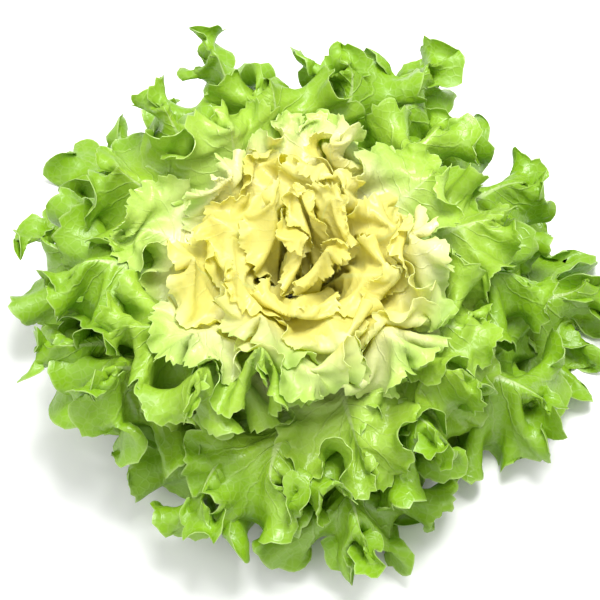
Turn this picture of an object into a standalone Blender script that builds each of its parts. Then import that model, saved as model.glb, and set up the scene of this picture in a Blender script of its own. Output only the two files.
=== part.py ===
"""A head of broad-leaved curly endive, standing on its cut stump.

Metres, +Z up. The origin is the middle of the stump's cut face, which rests on the surface, and -Y is
the front of the head. The head is a rosette: a conical stump carries every leaf, and the leaves follow
one spiral, the golden angle apart, from the lowest and outermost to the upright heart.

Each leaf lies on its own layer of a set of nested bowls. A layer is a profile turned about the
stump's axis, so no two leaves cross, however broad they are.
"""

import math

import bmesh
import bpy
from mathutils import Matrix, Vector

# The stump: a cut foot, a shoulder where the lowest leaves sit, and a cone up to the heart.
FOOT_RADIUS = 0.0165
FOOT_BEVEL = 0.0012
SHOULDER_HEIGHT = 0.0085
CONE_TOP_HEIGHT = 0.0445
STUMP_SIDES = 28
LEAF_TO_STUMP = 0.0020

# Where a leaf's foot sits on the cone: (distance from the axis, height), lowest and highest leaf.
LOWEST_FOOT = (0.0200, 0.0125)
HIGHEST_FOOT = (0.0062, 0.0470)

# The rosette.
GOLDEN_ANGLE = math.radians(137.508)
FIRST_LEAF_ANGLE = math.radians(8.0)
OUTER_LEAVES = 18
MIDDLE_LEAVES = 18
HEART_LEAVES = 18
LEAVES = OUTER_LEAVES + MIDDLE_LEAVES + HEART_LEAVES

# How far a layer leans above the horizontal, in degrees, at a leaf's foot and past its tip:
# the outermost layer, then the innermost one. LEAN_REACH is the arc over which it turns.
LEAN_AT_FOOT = (26.0, 84.0)
LEAN_AT_TIP = (-50.0, 60.0)
LEAN_REACH = 0.165
LEAN_RISES_EARLY = 0.78
PROFILE_STEPS = 48
LOWEST_LAYER_POINT = 0.0016
LANDING_SOFTNESS = 0.003

# The bowls aren't quite round: they droop at the front, and rise and fall in broad waves, given as
# (waves in a turn, degrees of lean, phase). HEART_ROUNDNESS is how much of that is gone at the heart.
FRONT_DROOP = 5.0
BROAD_WAVES = ((3, 2.2, 0.6), (5, 1.6, 2.1))
HEART_ROUNDNESS = 0.6

# A leaf's flat size, outermost and innermost.
LEAF_LENGTH = (0.154, 0.078)
LEAF_HALF_WIDTH = (0.043, 0.021)
PETIOLE_HALF_WIDTH = (0.0070, 0.0026)
PETIOLE_SHARE = 0.22
OBOVATE = 0.30
VEINS_FROM = 0.80
LAST_VEIN = 0.90
WIDEST_WRAP = math.radians(78.0)
LENGTH_FALLS_LATE = 1.15

# How one leaf's size differs from the next: (share of the size, turn from leaf to leaf, phase).
LENGTH_VARIATION = (0.055, 2.3, 0.4)
WIDTH_VARIATION = (0.10, 3.7, 1.1)

# A leaf's thickness, at the foot of its midrib and in its blade.
RIB_THICKNESS = (0.0026, 0.0009)
BLADE_THICKNESS = (0.0011, 0.0008)
RIB_FADES_BY = 0.75

# How finely a leaf is divided: rows on the petiole, rows on the blade, columns from rib to margin.
PETIOLE_ROWS = 2
BLADE_ROWS = 7
COLUMNS = 2

OUTER_GREEN = (0.270, 0.500, 0.075, 1.0)
MIDDLE_GREEN = (0.430, 0.660, 0.160, 1.0)
HEART_YELLOW = (0.800, 0.740, 0.270, 1.0)
STUMP_CREAM = (0.780, 0.760, 0.560, 1.0)
LEAF_ROUGHNESS = 0.45
STUMP_ROUGHNESS = 0.60
SHARP_EDGE = math.radians(35.0)


def between(pair, share):
    return pair[0] + (pair[1] - pair[0]) * share


def smooth(share):
    share = min(max(share, 0.0), 1.0)
    return share * share * (3.0 - 2.0 * share)


def clear_scene():
    for old in list(bpy.data.objects):
        bpy.data.objects.remove(old, do_unlink=True)


def make_material(name, colour, roughness):
    material = bpy.data.materials.new(name)
    material.use_nodes = True
    shader = material.node_tree.nodes["Principled BSDF"]
    shader.inputs["Base Color"].default_value = colour
    shader.inputs["Roughness"].default_value = roughness
    shader.inputs["Metallic"].default_value = 0.0
    material.diffuse_color = colour
    return material


def lean_change(azimuth, depth):
    """What the uneven bowls add to a layer's lean in this direction, in degrees.

    depth is 0 for the outermost layer and 1 for the innermost one.
    """
    change = FRONT_DROOP * math.sin(azimuth)
    for count, size, phase in BROAD_WAVES:
        change += size * math.sin(count * azimuth + phase)
    return change * (1.0 - HEART_ROUNDNESS * depth)


def layer_profile(depth, azimuth, reach):
    """Points (distance from the axis, height), evenly spaced along a layer's profile in one direction."""
    foot_lean = between(LEAN_AT_FOOT, depth ** LEAN_RISES_EARLY)
    tip_lean = between(LEAN_AT_TIP, depth ** LEAN_RISES_EARLY)
    change = lean_change(azimuth, depth)
    radius = between((LOWEST_FOOT[0], HIGHEST_FOOT[0]), depth)
    height = between((LOWEST_FOOT[1], HIGHEST_FOOT[1]), depth)
    step = reach / PROFILE_STEPS
    points = [(radius, height)]
    for k in range(PROFILE_STEPS):
        turned = (k + 0.5) * step / LEAN_REACH
        lean = math.radians(foot_lean + (tip_lean - foot_lean) * turned + change * smooth(turned * 2.0))
        radius += step * math.cos(lean)
        height += step * math.sin(lean)
        points.append((radius, height))
    return points


def above_surface(height):
    """Bends a layer that would pass through the surface, so that it lies along it."""
    clearance = height - LOWEST_LAYER_POINT
    return LOWEST_LAYER_POINT + 0.5 * (clearance + math.hypot(clearance, LANDING_SOFTNESS))


def point_on_layer(depth, facing, along, across):
    """Where the flat leaf's point (across, along) lands, for a leaf that faces this azimuth."""
    radius = layer_profile(depth, facing, along)[-1][0]
    azimuth = facing + WIDEST_WRAP * math.tanh(across / (radius * WIDEST_WRAP))
    radius, height = layer_profile(depth, azimuth, along)[-1]
    return Vector((radius * math.cos(azimuth), radius * math.sin(azimuth), above_surface(height)))


def leaf_outline(turn, length, half_width, foot_half_width):
    """The flat margin (across, along) of the blade's right half. turn is 0 at its base and 1 at its tip."""
    angle = math.pi * turn
    neck = PETIOLE_SHARE * length
    across = foot_half_width * (1.0 - turn) + half_width * math.sin(angle) * (1.0 - OBOVATE * math.cos(angle))
    along = neck + (length - neck) * 0.5 * (1.0 - math.cos(angle))
    return across, along


def leaf_rows(length, half_width, foot_half_width):
    """(midrib point, margin point) of each row, as flat (across, along), from the foot to the tip."""
    neck = PETIOLE_SHARE * length
    rows = []
    for k in range(PETIOLE_ROWS):
        along = VEINS_FROM * neck * k / PETIOLE_ROWS
        rows.append(((0.0, along), (foot_half_width, along)))
    for k in range(BLADE_ROWS + 1):
        turn = k / BLADE_ROWS
        rib_along = VEINS_FROM * neck + (LAST_VEIN * length - VEINS_FROM * neck) * turn
        rows.append(((0.0, rib_along), leaf_outline(turn, length, half_width, foot_half_width)))
    return rows


def leaf_mesh(name, place, depth, facing, length, half_width, foot_half_width):
    """A leaf as one sheet, in the frame of place, and each vertex's thickness, as a share of the rib's."""
    rib_share = between(BLADE_THICKNESS, depth) / between(RIB_THICKNESS, depth)
    rows = leaf_rows(length, half_width, foot_half_width)
    to_local = place.inverted()
    sheet = bmesh.new()
    shares = []

    def add_vertex(flat, share_out):
        rib = (1.0 - share_out) * max(0.0, 1.0 - flat[1] / (RIB_FADES_BY * length))
        shares.append(rib_share + (1.0 - rib_share) * rib)
        return sheet.verts.new(to_local @ point_on_layer(depth, facing, flat[1], flat[0]))

    spine = [add_vertex(rib, 0.0) for rib, _ in rows]
    tip = add_vertex(rows[-1][1], 1.0)
    for side in (-1.0, 1.0):
        lines = [[vertex] for vertex in spine]
        for row, (rib, margin) in enumerate(rows[:-1]):
            for column in range(1, COLUMNS + 1):
                out = column / COLUMNS
                flat = (side * margin[0] * out, rib[1] + (margin[1] - rib[1]) * out)
                lines[row].append(add_vertex(flat, out))
        for row in range(len(rows) - 2):
            for column in range(COLUMNS):
                corners = [
                    lines[row][column],
                    lines[row][column + 1],
                    lines[row + 1][column + 1],
                    lines[row + 1][column],
                ]
                sheet.faces.new(corners if side > 0 else corners[::-1])
        last = lines[-2]
        end = [*last, tip, lines[-1][0]]
        sheet.faces.new(end if side > 0 else end[::-1])
    mesh = bpy.data.meshes.new(name)
    sheet.to_mesh(mesh)
    sheet.free()
    return mesh, shares


def varied(variation, number):
    share, turn, phase = variation
    return 1.0 + share * math.sin(turn * number + phase)


def leaf_size(number, depth):
    """A leaf's flat length and half width. They follow its depth, and vary a little from leaf to leaf."""
    length = between(LEAF_LENGTH, depth ** LENGTH_FALLS_LATE) * varied(LENGTH_VARIATION, number)
    half_width = between(LEAF_HALF_WIDTH, depth) * varied(WIDTH_VARIATION, number)
    return length, half_width


def make_leaf(name, number, material):
    depth = number / (LEAVES - 1)
    facing = FIRST_LEAF_ANGLE + number * GOLDEN_ANGLE
    length, half_width = leaf_size(number, depth)
    foot = point_on_layer(depth, facing, 0.0, 0.0)
    place = Matrix.Translation(foot) @ Matrix.Rotation(facing, 4, "Z")
    mesh, shares = leaf_mesh(
        name, place, depth, facing, length, half_width, between(PETIOLE_HALF_WIDTH, depth)
    )
    leaf = bpy.data.objects.new(name, mesh)
    leaf.matrix_world = place
    bpy.context.collection.objects.link(leaf)
    rib = leaf.vertex_groups.new(name="thickness")
    for index, share in enumerate(shares):
        rib.add([index], share, "REPLACE")
    flesh = leaf.modifiers.new("Flesh", "SOLIDIFY")
    flesh.thickness = between(RIB_THICKNESS, depth)
    flesh.offset = 0.0
    flesh.vertex_group = rib.name
    mesh.materials.append(material)
    mesh.shade_smooth()
    return leaf


def make_stump(material):
    """The cut stump, turned from its profile: cut face, shoulder, and the cone that bears the leaves."""
    profile = [
        (0.0, 0.0),
        (FOOT_RADIUS - FOOT_BEVEL, 0.0),
        (FOOT_RADIUS, FOOT_BEVEL),
        (LOWEST_FOOT[0] - LEAF_TO_STUMP, SHOULDER_HEIGHT),
        (HIGHEST_FOOT[0] - LEAF_TO_STUMP, CONE_TOP_HEIGHT),
        (0.0, CONE_TOP_HEIGHT + 0.5 * HIGHEST_FOOT[0]),
    ]
    turned = bmesh.new()
    line = [turned.verts.new((radius, 0.0, height)) for radius, height in profile]
    edges = [turned.edges.new(pair) for pair in zip(line, line[1:])]
    bmesh.ops.spin(
        turned,
        geom=line + edges,
        cent=(0.0, 0.0, 0.0),
        axis=(0.0, 0.0, 1.0),
        angle=math.tau,
        steps=STUMP_SIDES,
        use_merge=True,
    )
    bmesh.ops.remove_doubles(turned, verts=turned.verts, dist=1e-6)
    bmesh.ops.recalc_face_normals(turned, faces=turned.faces)
    mesh = bpy.data.meshes.new("stump")
    turned.to_mesh(mesh)
    turned.free()
    mesh.materials.append(material)
    mesh.shade_smooth()
    mesh.set_sharp_from_angle(angle=SHARP_EDGE)
    stump = bpy.data.objects.new("stump", mesh)
    bpy.context.collection.objects.link(stump)
    return stump


def make_leaves(stump):
    """Every leaf, from the outermost in, each parented to the stump it grows from."""
    rings = (
        ("outer_leaf", OUTER_LEAVES, OUTER_GREEN),
        ("middle_leaf", MIDDLE_LEAVES, MIDDLE_GREEN),
        ("heart_leaf", HEART_LEAVES, HEART_YELLOW),
    )
    number = 0
    for ring, count, colour in rings:
        for place_in_ring in range(1, count + 1):
            name = f"{ring}_{place_in_ring:02d}"
            leaf = make_leaf(name, number, make_material(name, colour, LEAF_ROUGHNESS))
            leaf.parent = stump
            number += 1


def main():
    clear_scene()
    stump = make_stump(make_material("stump", STUMP_CREAM, STUMP_ROUGHNESS))
    make_leaves(stump)


main()
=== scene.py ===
"""The looks of a head of broad-leaved curly endive: ruffled, toothed leaves on a cut stump.

Every leaf is grown, not drawn. It starts as a plain sheet on its own layer of the rosette, its margin
grows faster than its midrib, and the sheets buckle into ruffles against each other. The grown sheet is
then cut to a toothed outline and given its thickness. Metres and +Z up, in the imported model's frame.
"""

import functools
import math

import bpy
import numpy as np
from bpy.props import FloatProperty, FloatVectorProperty, PointerProperty
from bpy.types import Operator, Panel, PropertyGroup
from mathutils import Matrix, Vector


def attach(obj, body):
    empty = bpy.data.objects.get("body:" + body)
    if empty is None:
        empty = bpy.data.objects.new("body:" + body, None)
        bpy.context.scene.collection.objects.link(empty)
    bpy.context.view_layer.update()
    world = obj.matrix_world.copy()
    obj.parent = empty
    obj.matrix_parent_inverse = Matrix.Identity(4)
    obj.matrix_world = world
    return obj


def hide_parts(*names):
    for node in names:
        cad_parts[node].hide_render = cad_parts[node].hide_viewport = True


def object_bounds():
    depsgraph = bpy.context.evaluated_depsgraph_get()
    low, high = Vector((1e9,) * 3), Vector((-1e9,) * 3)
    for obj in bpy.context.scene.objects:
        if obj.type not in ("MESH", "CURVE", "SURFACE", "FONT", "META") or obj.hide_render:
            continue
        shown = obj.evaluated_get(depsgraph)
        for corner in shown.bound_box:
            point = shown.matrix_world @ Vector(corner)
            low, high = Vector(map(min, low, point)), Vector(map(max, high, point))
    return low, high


bl_info = {
    "name": "Curly Endive Head",
    "version": (1, 0, 0),
    "blender": (4, 5, 0),
    "location": "3D View > Sidebar > Endive",
    "description": "Grows the ruffled leaves and the cut stump of an endive head on its packed model",
    "category": "Add Mesh",
}

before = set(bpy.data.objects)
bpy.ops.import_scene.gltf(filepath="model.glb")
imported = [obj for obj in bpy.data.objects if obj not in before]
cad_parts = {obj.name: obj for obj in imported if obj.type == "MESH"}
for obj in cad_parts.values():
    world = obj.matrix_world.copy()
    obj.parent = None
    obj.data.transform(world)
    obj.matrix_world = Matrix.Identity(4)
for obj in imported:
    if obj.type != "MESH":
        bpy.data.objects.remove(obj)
CAD_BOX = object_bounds()
BODY = "root"

# ---------------------------------------------------------------- the rosette, as it is packed

# A pair of values goes from the outermost leaf to the innermost, unless a comment says otherwise.
GOLDEN_ANGLE = math.radians(137.508)
FIRST_LEAF_ANGLE = math.radians(8.0)
RINGS = ("outer", "middle", "heart")
LEAVES_IN_RING = 18
LEAVES = LEAVES_IN_RING * len(RINGS)

# Where the outermost and the innermost leaf leave the stump: (distance from the axis, height).
LOWEST_FOOT = (0.0200, 0.0125)
HIGHEST_FOOT = (0.0062, 0.0470)

# The layers are nested bowls. Their lean is in degrees above level, and their uneven waves are
# (waves round the head, degrees of lean, phase).
LEAN_AT_FOOT = (26.0, 84.0)
LEAN_AT_TIP = (-50.0, 60.0)
LEAN_REACH = 0.165
LEAN_RISES_EARLY = 0.78
PROFILE_STEPS = 48
LOWEST_LAYER_POINT = 0.0016
LANDING_SOFTNESS = 0.003
FRONT_DROOP = 5.0
BROAD_WAVES = ((3, 2.2, 0.6), (5, 1.6, 2.1))
HEART_ROUNDNESS = 0.6

# A leaf laid flat. Its size varies from leaf to leaf by (share, turn of the wave from leaf to leaf,
# phase).
LEAF_LENGTH = (0.154, 0.078)
LEAF_HALF_WIDTH = (0.043, 0.021)
PETIOLE_HALF_WIDTH = (0.0070, 0.0026)
PETIOLE_SHARE = 0.22
OBOVATE = 0.30
VEINS_FROM = 0.80
LAST_VEIN = 0.90
WIDEST_WRAP = math.radians(78.0)
LENGTH_FALLS_LATE = 1.15
LENGTH_VARIATION = (0.055, 2.3, 0.4)
WIDTH_VARIATION = (0.10, 3.7, 1.1)

# ---------------------------------------------------------------- how a leaf grows

# The sheet: rows from foot to tip along its veins, and columns from one margin to the other. FULLER is
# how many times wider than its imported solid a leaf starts.
PETIOLE_ROWS = 8
BLADE_ROWS = 47
ROWS = PETIOLE_ROWS + BLADE_ROWS
HALF_COLUMNS = 12
COLUMNS = 2 * HALF_COLUMNS + 1
FULLER = (1.25, 1.00)
SEED = 5
TINY = 1e-9

# How far a midrib strays from its layer at the tip, as a share of its length: the spread from leaf to
# leaf sideways, up and in the curl of the last part, and the spread of the blade's twist about it. The
# innermost leaf strays by HEART_STRAYS of this.
STRAYS_SIDEWAYS = 0.12
STRAYS_UP = 0.34
CURLS = 0.18
TWIST = math.radians(46.0)
HEART_STRAYS = 0.85

# What is added to a midrib's rise: RISES_UP by its depth in the head, from 0 outside to 1 inside, and
# BACK_RISES for a leaf straight at the back. One in front falls by FRONT_FALLS of that.
RISES_AT = (0.0, 0.40, 0.72, 1.0)
RISES_UP = (0.06, 0.18, -0.10, 0.0)
BACK_RISES = (0.16, 0.08)
FRONT_FALLS = 0.6

# Growth in two stages: (steps, steps until full grown, gap kept between sheets, resistance to near and
# to wide folds, share of its speed that a point keeps from step to step).
COARSE_STAGE = (220, 140.0, 0.0029, (0.07, 0.01), 0.85)
FINE_STAGE = (80, 0.001, 0.0019, (0.05, 0.01), 0.60)

# How many times firmer against folding the innermost leaf is, and the share of its way that a midrib
# is drawn in a step.
HEART_STIFFNESS = 6.0
SPINE_HOLD = 0.10

# How the growth falls off from margin to midrib, as a power. Its patches along the margin have their
# wavelengths as shares of the leaf's length, and their sizes as shares of the growth. It differs from
# side to side by a spread, and the second stage adds a share of its own at the margin.
MARGIN_GROWTH_FALL = (1.5, 1.3)
PATCH_WAVES = (0.9, 0.45, 0.27, 0.17)
PATCH_SIZES = (0.12, 0.20, 0.20, 0.10)
GROWTH_SPREAD = 0.08
FINE_GROWTH = (0.85, 0.06)

# The small waves that each stage starts from, seeds for the first and frills for the second. They
# decide where the ruffles come. Wavelengths are shares of the leaf's length, and sizes are metres. The
# seeds' wavelengths are stretched and the frills' sizes are scaled, by the leaf's depth in the head.
SEED_WAVES = (0.50, 0.32, 0.19)
SEED_SIZES = (0.0030, 0.0034, 0.0018)
SEED_STRETCH = (0.42, 1.8)
FRILL_WAVES = (0.095, 0.066, 0.043)
FRILL_SIZES = (0.0023, 0.0018, 0.0008)
FRILL_SHARE = (1.0, 0.15)

# How freely a midrib moves, where a margin moves with 1.
RIB_FREEDOM = 0.03

# In each step: the sag, the furthest that a point may move, and how much of its error a link loses
# that lies along or across the sheet, or aslant in it.
GRAVITY = 0.00002
FASTEST = 0.0009
STRAIGHT_LINKS = 0.9
SLANTING_LINKS = 0.35

# Of two points too near, each moves by this share of what they lack, and by no more than this many
# times the furthest move.
PARTING = 0.35
FASTEST_PARTING = 1.3

# Heights that sheets and their midribs stay above.
LOWEST_SHEET = 0.0006
LOWEST_SPINE = 0.001

# The search for near points: the steps between two, its reach in gaps, how many reaches apart on the
# flat leaf two points of one leaf have to lie to be parted, and the cells from the edge to the axis.
STEPS_BETWEEN_SEARCHES = 6
REACH_OF_SEARCH = 1.35
SAME_LEAF_REACH = 2.5
CELLS_TO_AXIS = 512

# ---------------------------------------------------------------- how a leaf is cut and finished

# The fine mesh of a leaf: rows, and columns from midrib to margin, which crowd towards the margin.
LEAF_GRID = (289, 15)
HEART_GRID = (181, 14)
CROWDED_MARGIN = 1.35

# The cut outline: the shortest and longest lobe and tooth in rows of the fine mesh, the shallowest as
# a share of the deepest, the powers that point them, and the most of a half blade that is cut away.
LOBE_ROWS = (8, 19)
TOOTH_ROWS = (3, 7)
SHALLOWEST_LOBE = 0.15
SHALLOWEST_TOOTH = 0.25
LOBE_POINTEDNESS = 2.6
TOOTH_POINTEDNESS = 0.8
CUT_DEPTH = (1.0, 0.6)
DEEPEST_CUT = 0.45

# Puckers: how many waves make them, the slowest and the fastest, and their share of the height.
PUCKER_WAVES = 9
PUCKER_PACE = (7.0, 16.0)
PUCKER_SHARE = (1.0, 0.2)

# The midrib's share of its thickness and of its width, its width from foot to tip and where along the
# leaf it ends. A margin has this share of the blade's thickness, and levels tell thicknesses apart.
RIB_THICKNESS_SHARE = (1.0, 0.5)
RIB_WIDTH_SHARE = (1.0, 0.6)
RIB_REACH = (0.0065, 0.0012)
RIB_END = 0.92
MARGIN_THICKNESS = 0.45
THICKNESS_LEVELS = 40

# Flesh rests on the surface and doesn't go into it, and folds up to this angle look smooth.
LOWEST_FLESH = 0.0001
SMOOTH_FOLDS = math.radians(65.0)

# Greenness by place and by ring: its share, how far from the axis it starts, and how far out from
# there it is full. The ring's share falls off inwards by a power, each leaf counts as a little nearer
# or further than it is, and the innermost leaf is paler by HEART_PALER.
GREEN_BY_PLACE = (0.60, 0.032, 0.095)
GREEN_BY_RING = (0.52, 0.030, 0.060)
GREEN_RING_FALL = 1.1
GREEN_SPREAD = 0.011
HEART_PALER = 0.10

# Each ring's flesh: the share of its light that comes through from behind, and its relief's height.
# What comes through is tinted.
FLESH = {"outer": (0.24, 0.0006), "middle": (0.32, 0.0005), "heart": (0.46, 0.0002)}
LIT_THROUGH = (1.0, 1.0, 0.16)

# The pattern of the flesh: side veins from foot to tip, how far they sweep and waver, the scales of
# its clouds, its grain and its net of fine veins, and how far clouds shift its green.
SIDE_VEINS = 15.0
VEIN_SWEEP = -1.3
VEIN_WAVER = 1.6
CLOUD_SCALE = 42.0
GRAIN_SCALE = 330.0
NET_SCALE = 230.0
CLOUDING = 0.40

# The stage: the lights' places from the head's middle, their sizes, the fill's share of the key's
# power, and what the camera aims at, with the width that it takes in there. The sensor is in mm.
KEY_PLACE = Vector((0.12, 0.28, 1.05))
KEY_SIZE = 0.50
FILL_PLACE = Vector((-0.70, -0.45, 0.80))
FILL_SIZE = 0.90
FILL_SHARE = 0.22
FLOOR_SIZE = 6.0
CAMERA_AIM = Vector((0.0, -0.006, 0.055))
SENSOR_WIDTH = 36.0
VIEW_WIDTH = 0.312


def mix(pair, share):
    return pair[0] + (pair[1] - pair[0]) * share


def smooth(share):
    share = np.clip(share, 0.0, 1.0)
    return share * share * (3.0 - 2.0 * share)


def lengths_of(vectors):
    return np.sqrt(np.einsum("...k,...k", vectors, vectors)) + TINY


def varied(variation, number):
    share, turn, phase = variation
    return 1.0 + share * math.sin(turn * number + phase)


def depth_of(leaf):
    """0 for the outermost leaf and 1 for the innermost one."""
    return leaf / (LEAVES - 1)


def facing_of(leaf):
    return FIRST_LEAF_ANGLE + leaf * GOLDEN_ANGLE


# ---------------------------------------------------------------- the layers that the leaves start on


def lean_change(azimuth, depth):
    """What the uneven bowls add to a layer's lean in a direction, in degrees."""
    change = FRONT_DROOP * np.sin(azimuth)
    for count, size, phase in BROAD_WAVES:
        change = change + size * np.sin(count * azimuth + phase)
    return change * (1.0 - HEART_ROUNDNESS * depth)


def profile_point(depth, azimuth, along):
    """(distance from the axis, height) at an arc length along a layer's profile."""
    rise = depth**LEAN_RISES_EARLY
    foot_lean = mix(LEAN_AT_FOOT, rise)
    tip_lean = mix(LEAN_AT_TIP, rise)
    steps = (np.arange(PROFILE_STEPS) + 0.5) / PROFILE_STEPS
    turned = steps * (along / LEAN_REACH)[..., None]
    change = lean_change(azimuth, depth)[..., None] * smooth(2.0 * turned)
    lean = np.radians(foot_lean + (tip_lean - foot_lean) * turned + change)
    radius = mix((LOWEST_FOOT[0], HIGHEST_FOOT[0]), depth) + along * np.cos(lean).mean(-1)
    height = mix((LOWEST_FOOT[1], HIGHEST_FOOT[1]), depth) + along * np.sin(lean).mean(-1)
    return radius, height


def on_layer(depth, facing, flat):
    """Where a flat leaf's points land on their layer."""
    across, along = flat[..., 0], flat[..., 1]
    radius, _ = profile_point(depth, np.full_like(along, facing), along)
    azimuth = facing + WIDEST_WRAP * np.tanh(across / (radius * WIDEST_WRAP))
    radius, height = profile_point(depth, azimuth, along)
    clearance = height - LOWEST_LAYER_POINT
    height = LOWEST_LAYER_POINT + 0.5 * (clearance + np.hypot(clearance, LANDING_SOFTNESS))
    return np.stack((radius * np.cos(azimuth), radius * np.sin(azimuth), height), -1)


def flat_leaf(leaf):
    """The leaf laid flat, as (across, along) in metres for each row and column."""
    depth = depth_of(leaf)
    length = mix(LEAF_LENGTH, depth**LENGTH_FALLS_LATE) * varied(LENGTH_VARIATION, leaf)
    half_width = mix(FULLER, depth) * mix(LEAF_HALF_WIDTH, depth) * varied(WIDTH_VARIATION, leaf)
    foot_half_width = mix(PETIOLE_HALF_WIDTH, depth)
    neck = PETIOLE_SHARE * length
    petiole = VEINS_FROM * neck * np.arange(PETIOLE_ROWS) / PETIOLE_ROWS
    turn = np.linspace(0.0, 1.0, BLADE_ROWS)
    angle = math.pi * turn
    rib = np.concatenate((petiole, mix((VEINS_FROM * neck, LAST_VEIN * length), turn)))
    margin_along = np.concatenate((petiole, neck + (length - neck) * 0.5 * (1.0 - np.cos(angle))))
    bulge = half_width * np.sin(angle) * (1.0 - OBOVATE * np.cos(angle))
    blade_across = foot_half_width * (1.0 - turn) + bulge
    margin_across = np.concatenate((np.full(PETIOLE_ROWS, foot_half_width), blade_across))
    side = np.linspace(-1.0, 1.0, COLUMNS)
    across = margin_across[:, None] * side
    along = rib[:, None] + (margin_along - rib)[:, None] * np.abs(side)
    return np.stack((across, along), -1)


# ---------------------------------------------------------------- growth


def paired(rows, columns, step):
    """Slices that pair each point of a sheet with the one step away, in groups that share no point."""
    down, over = step
    every = slice(None)
    pairs = []
    for start in range(2 * (down or over)):
        if down:
            here = (slice(start, rows - down, 2 * down), slice(max(0, -over), columns - max(0, over)))
            there = (slice(start + down, rows, 2 * down), slice(max(0, over), columns + min(0, over)))
        else:
            here = (every, slice(start, columns - over, 2 * over))
            there = (every, slice(start + over, columns, 2 * over))
        pairs.append(((every, *here), (every, *there)))
    return pairs


def pull(points, free, rest, pair, stiffness, only_push=False):
    """Moves paired points towards their distance at rest. With only_push, those too near each other."""
    first, second = pair
    gap = points[second] - points[first]
    strain = 1.0 - rest[first] / lengths_of(gap)
    if only_push:
        strain = np.minimum(strain, 0.0)
    loose_first, loose_second = free[first], free[second]
    share = stiffness * strain / (loose_first + loose_second + TINY)
    points[first] += gap * (share * loose_first)[..., None]
    points[second] -= gap * (share * loose_second)[..., None]


def close_pairs(points, flat, owner, reach):
    """Pairs of points nearer than reach that belong to different leaves, or to far parts of one leaf."""
    cell = np.floor(points / reach).astype(np.int64) + CELLS_TO_AXIS
    key = (cell[:, 0] << 40) | (cell[:, 1] << 20) | cell[:, 2]
    order = np.argsort(key, kind="stable")
    key = key[order]
    index = np.arange(len(key))
    around = [(x, y, z) for x in (-1, 0, 1) for y in (-1, 0, 1) for z in (-1, 0, 1)]
    found = []
    for x, y, z in [cell for cell in around if cell >= (0, 0, 0)]:
        wanted = key + (x << 40) + (y << 20) + z
        low = index + 1 if (x, y, z) == (0, 0, 0) else np.searchsorted(key, wanted, "left")
        count = np.maximum(np.searchsorted(key, wanted, "right") - low, 0)
        first = np.repeat(index, count)
        second = np.arange(len(first)) + np.repeat(low - (np.cumsum(count) - count), count)
        first, second = order[first], order[second]
        gap = points[second] - points[first]
        near = np.einsum("...k,...k", gap, gap) < reach * reach
        first, second = first[near], second[near]
        lay = flat[second] - flat[first]
        far = np.einsum("...k,...k", lay, lay) > (SAME_LEAF_REACH * reach) ** 2
        apart = far | (owner[first] != owner[second])
        found.append(np.stack((first[apart], second[apart])))
    return np.concatenate(found, 1)


def keep_apart(points, free, pairs, reach):
    """Pushes sheets that come nearer than reach away from each other."""
    first, second = pairs
    gap = points[second] - points[first]
    distance = lengths_of(gap)
    move = gap * (PARTING * np.maximum(0.0, reach - distance) / distance)[:, None]
    total = np.empty_like(points)
    for axis in range(3):
        onto = np.bincount(second, move[:, axis], len(points))
        total[:, axis] = onto - np.bincount(first, move[:, axis], len(points))
    total *= (free * np.minimum(1.0, FASTEST_PARTING * FASTEST / lengths_of(total)))[:, None]
    points += total


def rest_lengths(flat, grown):
    """Each kind of link's length at rest, where the sheet has grown this much from row to row."""
    between_rows = np.zeros_like(flat)
    between_rows[:, :-1] = (flat[:, 1:] - flat[:, :-1]) * (0.5 * (grown[:, 1:] + grown[:, :-1]))[..., None]
    between_columns = np.zeros_like(flat)
    between_columns[:, :, :-1] = flat[:, :, 1:] - flat[:, :, :-1]
    rest = {(1, 0): lengths_of(between_rows), (0, 1): lengths_of(between_columns)}
    rest[1, 1] = np.zeros(flat.shape[:3])
    rest[1, 1][:, :-1, :-1] = lengths_of(between_rows[:, :-1, :-1] + between_columns[:, 1:, :-1])
    rest[1, -1] = np.zeros(flat.shape[:3])
    rest[1, -1][:, :-1, 1:] = lengths_of(between_rows[:, :-1, 1:] - between_columns[:, 1:, :-1])
    rest[2, 0] = rest[1, 0].copy()
    rest[2, 0][:, :-1] += rest[1, 0][:, 1:]
    rest[0, 2] = rest[0, 1].copy()
    rest[0, 2][:, :, :-1] += rest[0, 1][:, :, 1:]
    rest[4, 0] = rest[2, 0].copy()
    rest[4, 0][:, :-2] += rest[2, 0][:, 2:]
    rest[0, 4] = rest[0, 2].copy()
    rest[0, 4][:, :, :-2] += rest[0, 2][:, :, 2:]
    return rest


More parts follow.
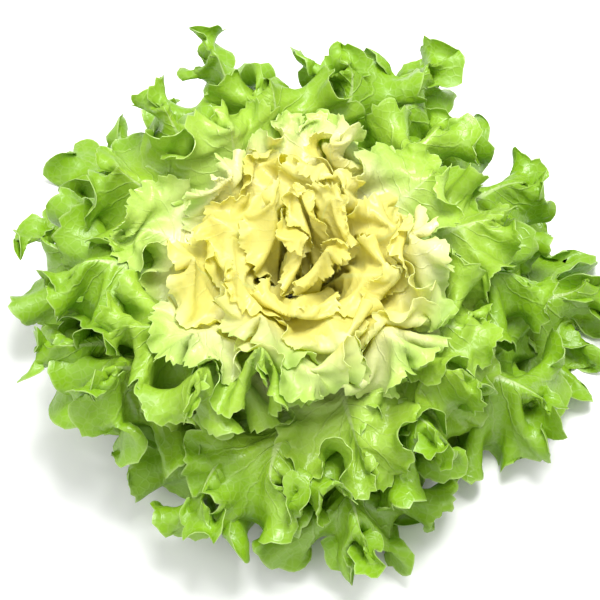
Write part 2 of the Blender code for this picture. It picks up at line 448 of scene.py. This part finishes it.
def grow(points, flat, spine, free, growth, stage):
    """Lets the sheets grow in place. Each leaf's middle columns are drawn towards spine as they do."""
    steps, full_grown, gap, fold_resistance, momentum = stage
    leaves, rows, columns, _ = points.shape
    owner = np.repeat(np.arange(leaves), rows * columns)
    stiffness = dict.fromkeys(((1, 0), (0, 1)), STRAIGHT_LINKS)
    stiffness |= dict.fromkeys(((1, 1), (1, -1)), SLANTING_LINKS)
    firmer = np.linspace(1.0, HEART_STIFFNESS, leaves)[:, None, None]
    stiffness |= {kind: fold_resistance[0] * firmer for kind in ((2, 0), (0, 2))}
    stiffness |= {kind: fold_resistance[1] * firmer for kind in ((4, 0), (0, 4))}
    groups = {step: paired(rows, columns, step) for step in stiffness}
    held = spine.shape[2] // 2
    middle = slice(columns // 2 - held, columns // 2 + held + 1)
    first_spine = points[:, :, middle].copy()
    before = points.copy()
    for step in range(steps):
        share = float(smooth(step / full_grown))
        if step % 5 == 0:
            rest = rest_lengths(flat, 1.0 + (growth - 1.0) * share)
        if step % STEPS_BETWEEN_SEARCHES == 0:
            pairs = close_pairs(points.reshape(-1, 3), flat.reshape(-1, 2), owner, REACH_OF_SEARCH * gap)
        now = points.copy()
        speed = (points - before) * momentum
        points += speed * (free * np.minimum(1.0, FASTEST / lengths_of(speed)))[..., None]
        points[..., 2] -= GRAVITY * free
        keep_apart(points.reshape(-1, 3), free.reshape(-1), pairs, gap)
        for kind, pairs_of_kind in groups.items():
            for pair in pairs_of_kind:
                pull(points, free, rest[kind], pair, stiffness[kind], only_push=max(kind) > 1)
        aim = first_spine + (spine - first_spine) * share
        points[:, :, middle] += (aim - points[:, :, middle]) * SPINE_HOLD
        points[:, -1] = 0.5 * (points[:, -1] + points[:, -1, ::-1])
        points[..., 2] = np.maximum(points[..., 2], LOWEST_SHEET)
        before = now
    return points


def cubic_weights(share):
    square = share * share
    cube = square * share
    return (
        -0.5 * cube + square - 0.5 * share,
        1.5 * cube - 2.5 * square + 1.0,
        -1.5 * cube + 2.0 * square + 0.5 * share,
        0.5 * cube - 0.5 * square,
    )


def resampled(sheets, places, axis):
    """Smooth samples of an array at fractional places along one axis."""
    last = sheets.shape[axis] - 1
    base = np.clip(np.floor(places).astype(int), 0, last - 1)
    shape = [1] * sheets.ndim
    shape[axis] = len(places)
    total = 0.0
    for offset, weight in zip((-1, 0, 1, 2), cubic_weights(places - base)):
        total = total + np.take(sheets, np.clip(base + offset, 0, last), axis) * weight.reshape(shape)
    return total


def resampled_columns(sheet, places):
    """Smooth samples of one sheet at fractional columns, which differ from row to row."""
    last = sheet.shape[1] - 1
    base = np.clip(np.floor(places).astype(int), 0, last - 1)
    row = np.arange(len(sheet))[:, None]
    total = 0.0
    for offset, weight in zip((-1, 0, 1, 2), cubic_weights(places - base)):
        total = total + sheet[row, np.clip(base + offset, 0, last)] * weight[..., None]
    return total


def random_wave(random, rows, wavelengths, sizes):
    """A smooth random line over the rows, whose wavelengths are shares of the leaf's length."""
    at = np.arange(rows) / rows
    line = np.zeros(rows)
    for wavelength, size in zip(wavelengths, sizes):
        line += size * np.sin(math.tau * (at / wavelength + random.random()))
    return line


def normals_of(points):
    """Unit normals on the side of each sheet that faces up and in."""
    normal = np.cross(np.gradient(points, axis=-3), np.gradient(points, axis=-2))
    return normal / lengths_of(normal)[..., None]


def stray_spines(random, points, flats, normals):
    """Where the three middle columns of each leaf go: bent sideways and up, and twisted about the midrib."""
    share = np.linspace(0.0, 1.0, ROWS)[None, :, None]
    length = flats[:, -1, HALF_COLUMNS, 1][:, None, None]
    rib = points[:, :, HALF_COLUMNS]
    beside = points[:, :, HALF_COLUMNS + 1] - rib
    reach = lengths_of(beside)[..., None]
    across = beside / reach
    up = normals[:, :, HALF_COLUMNS]
    calmer = np.linspace(1.0, HEART_STRAYS, LEAVES)[:, None, None]
    sideways, lift, curl = random.normal(0.0, 1.0, (3, LEAVES, 1, 1)) * calmer
    back = np.sin(facing_of(np.arange(LEAVES)))
    back = np.where(back < 0.0, FRONT_FALLS, 1.0) * back * np.linspace(*BACK_RISES, LEAVES)
    rise = np.interp(depth_of(np.arange(LEAVES)), RISES_AT, RISES_UP)
    lift = lift * STRAYS_UP + (back + rise)[:, None, None]
    spine = rib + across * STRAYS_SIDEWAYS * sideways * length * share**2
    spine += up * (lift * share**2.5 + CURLS * curl * share**6) * length
    links = np.diff(spine, axis=1)
    links *= (lengths_of(np.diff(flats[:, :, HALF_COLUMNS], axis=1)) / lengths_of(links))[..., None]
    spine[:, 1:] = spine[:, :1] + np.cumsum(links, 1)
    twist = random.normal(0.0, TWIST, LEAVES)[:, None, None] * calmer * share**1.5
    arm = reach * (np.cos(twist) * across + np.sin(twist) * up)
    spines = np.stack((spine - arm, spine, spine + arm), 2)
    spines[..., 2] = np.maximum(spines[..., 2], LOWEST_SPINE)
    return spines


@functools.cache
def grown_head(outer_ruffle, heart_ruffle):
    """All the leaves' sheets, grown together."""
    random = np.random.default_rng(SEED)
    flats = np.array([flat_leaf(leaf) for leaf in range(LEAVES)])
    points = np.array([on_layer(depth_of(leaf), facing_of(leaf), flats[leaf]) for leaf in range(LEAVES)])
    normals = normals_of(points)
    spines = stray_spines(random, points, flats, normals)
    row = np.arange(ROWS)
    out = np.abs(np.linspace(-1.0, 1.0, COLUMNS))
    blade = smooth((row - PETIOLE_ROWS + 2) / 10.0)
    free = mix((RIB_FREEDOM, 1.0), smooth((out - 0.02) / 0.30)) * smooth((row - 4.0) / 10.0)[:, None]
    free = np.repeat(free[None], LEAVES, 0)
    growth = np.ones((LEAVES, ROWS, COLUMNS))
    sides = (slice(0, HALF_COLUMNS), slice(HALF_COLUMNS + 1, COLUMNS))
    for leaf in range(LEAVES):
        depth = depth_of(leaf)
        for side in sides:
            patchy = random_wave(random, ROWS, PATCH_WAVES, PATCH_SIZES)
            much = mix((outer_ruffle, heart_ruffle), depth) + random.normal(0.0, GROWTH_SPREAD)
            much = np.maximum(much * (1.0 + patchy) * blade, 0.0)
            growth[leaf, :, side] = 1.0 + much[:, None] * out[side] ** mix(MARGIN_GROWTH_FALL, depth)
            wavelengths = mix(SEED_STRETCH, depth) * np.array(SEED_WAVES)
            wave = random_wave(random, ROWS, wavelengths, SEED_SIZES) * blade
            points[leaf, :, side] += normals[leaf, :, side] * (wave[:, None] * out[side] ** 1.5)[..., None]
    points = grow(points, flats, spines, free, growth, COARSE_STAGE)

    rows = np.linspace(0, ROWS - 1, 2 * ROWS - 1)
    columns = np.linspace(0, COLUMNS - 1, 2 * COLUMNS - 1)
    points, flats, growth, free = (
        resampled(resampled(sheets, rows, 1), columns, 2) for sheets in (points, flats, growth, free)
    )
    out = np.abs(np.linspace(-1.0, 1.0, len(columns)))
    margin = smooth((out - 0.5) / 0.5)
    normals = normals_of(points)
    for leaf in range(LEAVES):
        for side in (slice(0, COLUMNS - 1), slice(COLUMNS, 2 * COLUMNS - 1)):
            wave = random_wave(random, len(rows), FRILL_WAVES, FRILL_SIZES)
            wave *= smooth((rows - PETIOLE_ROWS) / 8.0) * mix(FRILL_SHARE, depth_of(leaf))
            points[leaf, :, side] += normals[leaf, :, side] * (wave[:, None] * margin[side])[..., None]
    growth = growth * (1.0 + np.linspace(*FINE_GROWTH, LEAVES)[:, None, None] * margin)
    spines = points[:, :, len(columns) // 2 - 1 : len(columns) // 2 + 2].copy()
    return grow(np.ascontiguousarray(points), flats, spines, np.clip(free, 0.0, 1.0), growth, FINE_STAGE)


# ---------------------------------------------------------------- from a grown sheet to a leaf


def segments(random, rows, length_range):
    """For each row, the number of its segment along the margin and its place in it, from 0 to 1."""
    ends = np.cumsum(random.uniform(*length_range, rows))
    row = np.arange(rows)
    which = np.searchsorted(ends, row, side="right")
    starts = np.concatenate(([0.0], ends))[which]
    return which, (row - starts) / (ends[which] - starts)


def cut_line(random, rows, petiole, tooth_depth, lobe_depth):
    """How deep the margin is cut in at each row: notches between lobes, and teeth that point to the tip."""
    which, place = segments(random, rows, LOBE_ROWS)
    notches = random.uniform(SHALLOWEST_LOBE, 1.0, rows + 1) ** 1.5
    nearest = np.where(place < 0.5, notches[which], notches[which + 1])
    lobes = lobe_depth * nearest * np.abs(2.0 * place - 1.0) ** LOBE_POINTEDNESS
    which, place = segments(random, rows, TOOTH_ROWS)
    teeth = tooth_depth * random.uniform(SHALLOWEST_TOOTH, 1.0, rows)[which]
    teeth = teeth * (1.0 - place) ** TOOTH_POINTEDNESS
    row = np.arange(rows)
    return (lobes + teeth) * smooth((row - petiole) / 14.0) * np.clip((rows - 1 - row) / 5.0, 0.0, 1.0)


def cut_places(random, sheet, half_columns, tooth_depth, lobe_depth):
    """Fractional columns, from the left margin to the right one, that cut a sheet to a toothed outline."""
    rows, columns, _ = sheet.shape
    middle = columns // 2
    petiole = rows * PETIOLE_ROWS // ROWS
    steps = np.linspace(0.0, 1.0, half_columns + 1)
    steps = 1.0 - (1.0 - steps) ** CROWDED_MARGIN
    links = lengths_of(np.diff(sheet, axis=1))
    halves = []
    for width in (links[:, :middle].sum(1), links[:, middle:].sum(1)):
        cut = cut_line(random, rows, petiole, tooth_depth, lobe_depth)
        cut = np.minimum(cut / (width + TINY), DEEPEST_CUT)
        halves.append(steps - cut[:, None] * np.clip((steps - 0.3) / 0.7, 0.0, 1.0))
    left, right = halves
    return middle * np.concatenate((1.0 - left[:, :0:-1], 1.0 + right), 1)


def puckers(random, rows, columns):
    """A smooth random field over a leaf, about 1 high, for the puckers between its veins."""
    down = np.linspace(0.0, 1.0, rows)[:, None]
    over = np.linspace(-1.0, 1.0, columns)[None]
    field = np.zeros((rows, columns))
    for _ in range(PUCKER_WAVES):
        angle = random.uniform(0.0, math.tau)
        waves = random.uniform(*PUCKER_PACE)
        phase = random.uniform(0.0, math.tau)
        field += np.sin(waves * (2.2 * down * math.cos(angle) + over * math.sin(angle)) * 2.0 + phase)
    return field / math.sqrt(PUCKER_WAVES)


def greenness(leaf, points, random):
    """0 where a leaf was kept from the light, at the heart, and 1 where it was out in the open."""
    depth = depth_of(leaf)
    from_axis = np.hypot(points[..., 0], points[..., 1]) + random.normal(0.0, GREEN_SPREAD)
    share, start, reach = GREEN_BY_PLACE
    by_place = share * smooth((from_axis - start) / reach)
    share, start, reach = GREEN_BY_RING
    by_ring = share * (1.0 - depth) ** GREEN_RING_FALL * smooth((from_axis - start) / reach)
    return np.clip(by_place + by_ring - HEART_PALER * depth, 0.0, 1.0)


def deselect():
    bpy.ops.object.select_all(action="DESELECT")


def leaf_piece(name, leaf, sizes, material):
    """One leaf: a grid laid on the grown sheet, cut at its margin, closed at its tip and thickened."""
    grown = grown_head(sizes.outer_ruffle, sizes.heart_ruffle)[leaf]
    depth = depth_of(leaf)
    random = np.random.default_rng([SEED, leaf])
    rows, half_columns = HEART_GRID if leaf >= 2 * LEAVES_IN_RING else LEAF_GRID
    sheet = resampled(grown, np.linspace(0, len(grown) - 1, rows), 0)
    tooth_depth = sizes.tooth_depth * mix(CUT_DEPTH, depth)
    lobe_depth = sizes.lobe_depth * mix(CUT_DEPTH, depth)
    places = cut_places(random, sheet, half_columns, tooth_depth, lobe_depth)
    full = sheet.shape[1] - 1
    sheet = resampled_columns(sheet, places)
    columns = sheet.shape[1]
    out = np.abs(2.0 * places / full - 1.0)
    along = np.arange(rows)[:, None] / rows
    lift = puckers(random, rows, columns) * sizes.pucker_height * mix(PUCKER_SHARE, depth)
    lift = lift * smooth(out / 0.25) * smooth((1.02 - out) / 0.2)
    lift *= smooth((along - 0.12) / 0.2) * smooth((1.0 - along) / 0.1)
    sheet = sheet + normals_of(sheet) * lift[..., None]

    deselect()
    across, down = columns - 1, rows - 1
    bpy.ops.mesh.primitive_grid_add(x_subdivisions=across, y_subdivisions=down, size=2.0, location=(0, 0, 0))
    piece = bpy.context.object
    piece.name = name
    mesh = piece.data
    mesh.name = name
    flat = np.empty(3 * len(mesh.vertices))
    mesh.vertices.foreach_get("co", flat)
    flat = flat.reshape(-1, 3)
    column = np.rint((flat[:, 0] + 1.0) * 0.5 * across).astype(int)
    row = np.rint((flat[:, 1] + 1.0) * 0.5 * down).astype(int)
    mesh.vertices.foreach_set("co", sheet[row, column].ravel())

    corner = np.empty(len(mesh.loops), dtype=int)
    mesh.loops.foreach_get("vertex_index", corner)
    uv = np.stack((places[row, column] / full, row / down), -1)[corner]
    mesh.uv_layers.active.data.foreach_set("uv", uv.ravel())
    green = mesh.attributes.new("greenness", "FLOAT", "POINT")
    green.data.foreach_set("value", greenness(leaf, sheet, random)[row, column])
    # A painted highlight: the margin's outermost points are marked so that the flesh is drawn paler there,
    # for light that catches the thin edge.
    painted_edge_highlight = np.zeros(columns)
    painted_edge_highlight[[0, -1]] = 1.0
    mesh.attributes.new("painted_edge_highlight", "FLOAT", "POINT").data.foreach_set("value", painted_edge_highlight[column])

    rib_share = rib_thickness_share(sheet, out, depth, sizes)[row, column]
    levels = np.rint(rib_share * THICKNESS_LEVELS).astype(int)
    group = piece.vertex_groups.new(name="thickness")
    for level in np.unique(levels):
        group.add(np.flatnonzero(levels == level).tolist(), float(level) / THICKNESS_LEVELS, "REPLACE")

    bpy.ops.object.mode_set(mode="EDIT")
    bpy.ops.mesh.select_all(action="SELECT")
    bpy.ops.mesh.remove_doubles(threshold=1e-6)
    bpy.ops.object.mode_set(mode="OBJECT")
    flesh = piece.modifiers.new("Flesh", "SOLIDIFY")
    flesh.thickness = sizes.rib_thickness * mix(RIB_THICKNESS_SHARE, depth)
    flesh.offset = 1.0
    flesh.vertex_group = group.name
    flesh.use_quality_normals = True
    bpy.ops.object.modifier_apply(modifier=flesh.name)
    piece.vertex_groups.clear()
    solid = np.empty(3 * len(mesh.vertices))
    mesh.vertices.foreach_get("co", solid)
    solid[2::3] = np.maximum(solid[2::3], LOWEST_FLESH)
    mesh.vertices.foreach_set("co", solid)
    mesh.materials.append(material)
    bpy.ops.object.shade_smooth_by_angle(angle=SMOOTH_FOLDS)
    return piece


def rib_thickness_share(sheet, out, depth, sizes):
    """A leaf's thickness at each point, as a share of its midrib's at the foot."""
    along = np.linspace(0.0, 1.0, len(sheet))[:, None]
    rib = sizes.rib_thickness * mix(RIB_THICKNESS_SHARE, depth)
    blade = sizes.blade_thickness / rib
    widths = lengths_of(np.diff(sheet, axis=1)).sum(1)[:, None] * 0.5
    from_rib = out * widths
    rib_reach = mix(RIB_REACH, along) * mix(RIB_WIDTH_SHARE, depth)
    ridge = np.exp(-((from_rib / rib_reach) ** 2)) * np.maximum(0.0, 1.0 - along / RIB_END) ** 0.8
    edge = mix((MARGIN_THICKNESS, 1.0), smooth((1.0 - out) / 0.12))
    return np.clip(np.maximum(blade * edge, ridge * (1.0 - blade) + blade * edge), 0.0, 1.0)


# ---------------------------------------------------------------- materials


def fresh_tree(name):
    """A material's empty node tree with its output."""
    material = bpy.data.materials.new(name)
    material.use_nodes = True
    tree = material.node_tree
    tree.nodes.clear()
    return material, tree, tree.nodes.new("ShaderNodeOutputMaterial")


def node(tree, kind, inputs=(), **settings):
    """A shader node with its settings, and its inputs either linked or set, by number or by name."""
    made = tree.nodes.new(f"ShaderNode{kind}")
    for name, value in settings.items():
        setattr(made, name, value)
    for key, value in dict(inputs).items():
        if isinstance(value, bpy.types.NodeSocket):
            tree.links.new(value, made.inputs[key])
        else:
            made.inputs[key].default_value = value
    return made


def maths(tree, operation, first, second=0.0, third=0.0):
    inputs = {0: first, 1: second, 2: third}
    return node(tree, "Math", inputs, operation=operation).outputs[0]


def ramped(tree, value, low, high, to_low=0.0, to_high=1.0):
    """value carried smoothly from one range onto another."""
    inputs = {"Value": value, "From Min": low, "From Max": high, "To Min": to_low, "To Max": to_high}
    return node(tree, "MapRange", inputs, interpolation_type="SMOOTHSTEP").outputs[0]


def blended(tree, share, first, second, mode="MIX"):
    """Two colours mixed."""
    made = node(tree, "Mix", {0: share}, data_type="RGBA", blend_type=mode)
    for key, value in ((6, first), (7, second)):
        if isinstance(value, bpy.types.NodeSocket):
            tree.links.new(value, made.inputs[key])
        else:
            made.inputs[key].default_value = (*value[:3], 1.0)
    return made.outputs[2]


def leaf_material(name, colours, glows, relief_height):
    """Leaf flesh: blanched to green by the light it had, with pale veins and a painted highlight along its
    margin, and lit through from behind.
    """
    material, tree, output = fresh_tree(name)
    place = node(tree, "TexCoord").outputs["Object"]
    uv = node(tree, "SeparateXYZ", {0: node(tree, "UVMap", uv_map="UVMap").outputs[0]})
    green = node(tree, "Attribute", attribute_name="greenness").outputs["Fac"]
    painted_edge_highlight = node(tree, "Attribute", attribute_name="painted_edge_highlight").outputs["Fac"]

    clouds = node(tree, "TexNoise", {"Vector": place, "Scale": CLOUD_SCALE, "Detail": 3.0})
    grain = node(tree, "TexNoise", {"Vector": place, "Scale": GRAIN_SCALE, "Detail": 3.0})
    cloud = maths(tree, "SUBTRACT", clouds.outputs["Fac"], 0.5)

    side = maths(tree, "MULTIPLY_ADD", uv.outputs[0], 2.0, -1.0)
    out = maths(tree, "ABSOLUTE", side)
    stagger = maths(tree, "MULTIPLY", maths(tree, "GREATER_THAN", side, 0.0), 0.5)
    sweep = maths(tree, "MULTIPLY", maths(tree, "POWER", out, 0.8), VEIN_SWEEP)
    line = maths(tree, "MULTIPLY", uv.outputs[1], SIDE_VEINS)
    line = maths(tree, "ADD", line, maths(tree, "ADD", sweep, stagger))
    line = maths(tree, "MULTIPLY_ADD", cloud, VEIN_WAVER, line)
    from_vein = maths(tree, "ABSOLUTE", maths(tree, "SUBTRACT", maths(tree, "FRACT", line), 0.5))
    vein = ramped(tree, from_vein, 0.0, 0.085, 1.0, 0.0)
    vein = maths(tree, "MULTIPLY", vein, ramped(tree, out, 0.25, 1.0, 1.0, 0.25))
    cells = {"Vector": place, "Scale": NET_SCALE, "Randomness": 1.0}
    nets = node(tree, "TexVoronoi", cells, feature="DISTANCE_TO_EDGE")
    net = ramped(tree, nets.outputs["Distance"], 0.0, 0.14, 1.0, 0.0)
    rib_edge = maths(tree, "MULTIPLY_ADD", uv.outputs[1], -0.13, 0.145)
    rib = ramped(tree, maths(tree, "DIVIDE", out, rib_edge), 0.35, 1.1, 1.0, 0.0)

    tone = maths(tree, "MULTIPLY_ADD", cloud, CLOUDING, green)
    ramp = node(tree, "ValToRGB", {0: tone})
    stops = ramp.color_ramp.elements
    stops.remove(stops[1])
    # The first stop, at the axis, is partly the blanched heart's own yellow and partly painted bounced light,
    # deeper and more saturated down in its hollow.
    stops[0].color = (*colours.heart, 1.0)
    greens = (colours.cream, colours.pale, colours.fresh, colours.deep)
    for at, green in zip((0.14, 0.34, 0.60, 0.95), greens):
        stops.new(at).color = (*green, 1.0)
    colour = ramp.outputs[0]
    # Veins, net and midrib are paler in the leaf itself; the paler line along the margin is a painted
    # highlight.
    for part, share in ((vein, 0.12), (net, 0.07), (rib, 0.42), (painted_edge_highlight, 0.30)):
        colour = blended(tree, maths(tree, "MULTIPLY", part, share), colour, colours.vein)

    relief = maths(tree, "ADD", maths(tree, "MULTIPLY", vein, 0.9), maths(tree, "MULTIPLY", net, 0.22))
    relief = maths(tree, "ADD", relief, maths(tree, "MULTIPLY", grain.outputs["Fac"], 0.5))
    bump = node(tree, "Bump", {"Strength": 0.6, "Distance": relief_height, "Height": relief})
    rough = ramped(tree, clouds.outputs["Fac"], 0.3, 0.7, 0.30, 0.46)
    finish = {"Base Color": colour, "Roughness": rough, "Specular IOR Level": 0.80, "IOR": 1.42}
    flesh = node(tree, "BsdfPrincipled", finish | {"Normal": bump.outputs[0]})
    through = blended(tree, 1.0, colour, LIT_THROUGH, "MULTIPLY")
    glow = node(tree, "BsdfTranslucent", {"Color": through, "Normal": bump.outputs[0]})
    leaf = node(tree, "MixShader", {0: glows, 1: flesh.outputs[0], 2: glow.outputs[0]})
    tree.links.new(leaf.outputs[0], output.inputs[0])
    return material


def stump_material(name, colours):
    """Pale stem flesh, with fibres down its sides, and browned where it was cut."""
    material, tree, output = fresh_tree(name)
    place = node(tree, "TexCoord").outputs["Object"]
    height = node(tree, "SeparateXYZ", {0: place}).outputs[2]
    stretched = node(tree, "Mapping", {"Vector": place, "Scale": (1.0, 1.0, 0.16)}).outputs[0]
    fibres = node(tree, "TexNoise", {"Vector": stretched, "Scale": 620.0, "Detail": 4.0}).outputs["Fac"]
    stains = node(tree, "TexNoise", {"Vector": place, "Scale": 150.0, "Detail": 5.0}).outputs["Fac"]
    cut = ramped(tree, height, 0.0004, 0.0026, 1.0, 0.0)
    browned = maths(tree, "MULTIPLY", cut, ramped(tree, stains, 0.35, 0.68, 0.25, 1.0))
    colour = blended(tree, ramped(tree, fibres, 0.35, 0.7, 0.0, 0.35), colours.stump, colours.pale)
    colour = blended(tree, browned, colour, colours.cut)
    relief = maths(tree, "ADD", fibres, maths(tree, "MULTIPLY", stains, 0.6))
    bump = node(tree, "Bump", {"Strength": 0.6, "Distance": 0.0006, "Height": relief})
    rough = ramped(tree, stains, 0.3, 0.7, 0.42, 0.66)
    finish = {"Base Color": colour, "Roughness": rough, "Normal": bump.outputs[0]}
    flesh = node(tree, "BsdfPrincipled", finish)
    tree.links.new(flesh.outputs[0], output.inputs[0])
    return material


def floor_material(name, colours):
    """A pale matt sheet with the faintest unevenness."""
    material, tree, output = fresh_tree(name)
    place = node(tree, "TexCoord").outputs["Object"]
    clouds = node(tree, "TexNoise", {"Vector": place, "Scale": 6.0, "Detail": 2.0}).outputs["Fac"]
    colour = blended(tree, ramped(tree, clouds, 0.3, 0.7, 0.0, 0.02), colours.floor, (0.90, 0.90, 0.89))
    paper = node(tree, "BsdfPrincipled", {"Base Color": colour, "Roughness": 0.75, "Specular IOR Level": 0.2})
    tree.links.new(paper.outputs[0], output.inputs[0])
    return material


# ---------------------------------------------------------------- settings


def size_setting(name, description, default):
    return FloatProperty(
        name=name, description=description, default=default, min=0.0, unit="LENGTH", precision=4
    )


def colour_setting(name, description, default):
    return FloatVectorProperty(
        name=name, description=description, default=default, subtype="COLOR", min=0.0, max=1.0
    )


def share_setting(name, description, default, highest):
    return FloatProperty(
        name=name, description=description, default=default, min=0.0, max=highest, subtype="FACTOR"
    )


class EndiveSizes(PropertyGroup):
    outer_ruffle: share_setting("Outer ruffle", "Extra growth of the outermost leaves' margin", 1.35, 1.6)
    heart_ruffle: share_setting("Heart ruffle", "Extra growth of the innermost leaves' margin", 0.12, 1.6)
    tooth_depth: size_setting("Tooth depth", "How deep the teeth are cut into the margin", 0.0052)
    lobe_depth: size_setting("Lobe depth", "How deep the notches between the lobes are cut", 0.0070)
    blade_thickness: size_setting("Blade thickness", "Thickness of the blade between the veins", 0.0005)
    rib_thickness: size_setting("Midrib thickness", "Thickness of the outermost midrib at its foot", 0.0046)
    pucker_height: size_setting("Pucker height", "How far the blade puckers between its veins", 0.0006)


class EndiveColours(PropertyGroup):
    # Partly the heart's own blanched yellow and partly painted bounced light in the hollow of the heart.
    heart: colour_setting("Heart", "Deepest yellow, down in the heart", (0.90, 0.85, 0.26))
    cream: colour_setting("Cream", "Blanched leaf", (0.87, 0.88, 0.45))
    pale: colour_setting("Pale green", "Where the blanched leaf turns green", (0.56, 0.74, 0.17))
    fresh: colour_setting("Fresh green", "Middle of the head", (0.42, 0.64, 0.055))
    deep: colour_setting("Deep green", "Outermost leaf", (0.25, 0.47, 0.012))
    # This colour also paints the highlight along each leaf's margin.
    vein: colour_setting("Vein", "Veins, midrib and margin", (0.80, 0.90, 0.48))
    stump: colour_setting("Stump", "Stem flesh", (0.78, 0.76, 0.56))
    cut: colour_setting("Cut", "Browned cut face", (0.42, 0.26, 0.12))
    floor: colour_setting("Floor", "The surface that the head stands on", (0.96, 0.96, 0.96))


class EndiveStage(PropertyGroup):
    elevation: FloatProperty(
        name="Camera elevation",
        description="How steeply the camera looks down",
        default=math.radians(63.0),
        subtype="ANGLE",
    )
    distance: FloatProperty(
        name="Camera distance",
        description="From the head to the camera",
        default=1.15,
        unit="LENGTH",
    )
    sky: share_setting("Sky", "Brightness of the even white light all round", 0.76, 3.0)
    key: FloatProperty(
        name="Key light",
        description="Power of the large soft light",
        default=17.0,
        unit="POWER",
    )


# ---------------------------------------------------------------- operators


def make_ring(context, ring):
    """The leaves of one ring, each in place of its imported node."""
    sizes, colours = context.scene.endive_sizes, context.scene.endive_colours
    material = leaf_material(f"{ring}_leaf_flesh", colours, *FLESH[ring])
    for place in range(LEAVES_IN_RING):
        leaf = RINGS.index(ring) * LEAVES_IN_RING + place
        piece = leaf_piece(f"{ring}_ruffled_leaf_{place + 1:02d}", leaf, sizes, material)
        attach(piece, BODY)
        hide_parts(f"{ring}_leaf_{place + 1:02d}")
    return {"FINISHED"}


class ENDIVE_OT_outer_leaves(Operator):
    """Grow the green outer leaves, which lie open on the surface"""

    bl_idname = "endive.outer_leaves"
    bl_label = "Outer Leaves"

    def execute(self, context):
        return make_ring(context, "outer")


class ENDIVE_OT_middle_leaves(Operator):
    """Grow the pale green leaves between the outer ones and the heart"""

    bl_idname = "endive.middle_leaves"
    bl_label = "Middle Leaves"

    def execute(self, context):
        return make_ring(context, "middle")


class ENDIVE_OT_heart_leaves(Operator):
    """Grow the blanched yellow leaves of the heart"""

    bl_idname = "endive.heart_leaves"
    bl_label = "Heart Leaves"

    def execute(self, context):
        return make_ring(context, "heart")


class ENDIVE_OT_stump(Operator):
    """Give the cut stump its pale, fibrous flesh"""

    bl_idname = "endive.stump"
    bl_label = "Stump"

    def execute(self, context):
        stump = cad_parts["stump"]
        stump.data.materials.clear()
        stump.data.materials.append(stump_material("stump_flesh", context.scene.endive_colours))
        return {"FINISHED"}


class ENDIVE_OT_stage(Operator):
    """Set out the pale floor, the soft light and the camera"""

    bl_idname = "endive.stage"
    bl_label = "Stage"

    def execute(self, context):
        stage, colours = context.scene.endive_stage, context.scene.endive_colours
        low, high = (Vector(corner) for corner in CAD_BOX)
        middle = (low + high) / 2.0
        deselect()
        bpy.ops.mesh.primitive_plane_add(size=FLOOR_SIZE, location=(0.0, 0.0, 0.0))
        floor = context.object
        floor.name = "floor"
        floor.data.materials.append(floor_material("pale_floor", colours))

        world = bpy.data.worlds.new("soft_sky")
        world.use_nodes = True
        sky = world.node_tree.nodes["Background"]
        sky.inputs["Color"].default_value = (1.0, 1.0, 1.0, 1.0)
        sky.inputs["Strength"].default_value = stage.sky
        context.scene.world = world
        for name, place, size, power in (
            ("key_light", KEY_PLACE, KEY_SIZE, stage.key),
            ("fill_light", FILL_PLACE, FILL_SIZE, stage.key * FILL_SHARE),
        ):
            bpy.ops.object.light_add(type="AREA", location=middle + place)
            light = context.object
            light.name = name
            light.data.size = size
            light.data.energy = power
            light.rotation_euler = (-place).to_track_quat("-Z", "Y").to_euler()

        away = Vector((0.0, -math.cos(stage.elevation), math.sin(stage.elevation)))
        bpy.ops.object.camera_add(location=CAMERA_AIM + away * stage.distance)
        camera = context.object
        camera.rotation_euler = (-away).to_track_quat("-Z", "Y").to_euler()
        camera.data.sensor_width = SENSOR_WIDTH
        camera.data.lens = SENSOR_WIDTH * stage.distance / VIEW_WIDTH
        context.scene.camera = camera
        context.scene.view_settings.view_transform = "Standard"
        return {"FINISHED"}


class ENDIVE_PT_sidebar(Panel):
    """The head's sizes, its colours and its pieces"""

    bl_label = "Curly Endive Head"
    bl_idname = "ENDIVE_PT_sidebar"
    bl_space_type = "VIEW_3D"
    bl_region_type = "UI"
    bl_category = "Endive"

    def draw(self, context):
        layout = self.layout
        scene = context.scene
        for settings in (scene.endive_sizes, scene.endive_colours, scene.endive_stage):
            box = layout.box()
            for name in settings.__annotations__:
                box.prop(settings, name)
        for operator in OPERATORS:
            layout.operator(operator.bl_idname)


SETTINGS = {"endive_sizes": EndiveSizes, "endive_colours": EndiveColours, "endive_stage": EndiveStage}
OPERATORS = (
    ENDIVE_OT_stage,
    ENDIVE_OT_stump,
    ENDIVE_OT_outer_leaves,
    ENDIVE_OT_middle_leaves,
    ENDIVE_OT_heart_leaves,
)


def register():
    for made in (*SETTINGS.values(), *OPERATORS, ENDIVE_PT_sidebar):
        bpy.utils.register_class(made)
    for name, group in SETTINGS.items():
        setattr(bpy.types.Scene, name, PointerProperty(type=group))


def unregister():
    for name in SETTINGS:
        delattr(bpy.types.Scene, name)
    for made in (ENDIVE_PT_sidebar, *reversed(OPERATORS), *reversed(SETTINGS.values())):
        bpy.utils.unregister_class(made)


def main():
    register()
    bpy.ops.endive.stage()
    bpy.ops.endive.stump()
    bpy.ops.endive.outer_leaves()
    bpy.ops.endive.middle_leaves()
    bpy.ops.endive.heart_leaves()


if __name__ == "__main__":
    main()
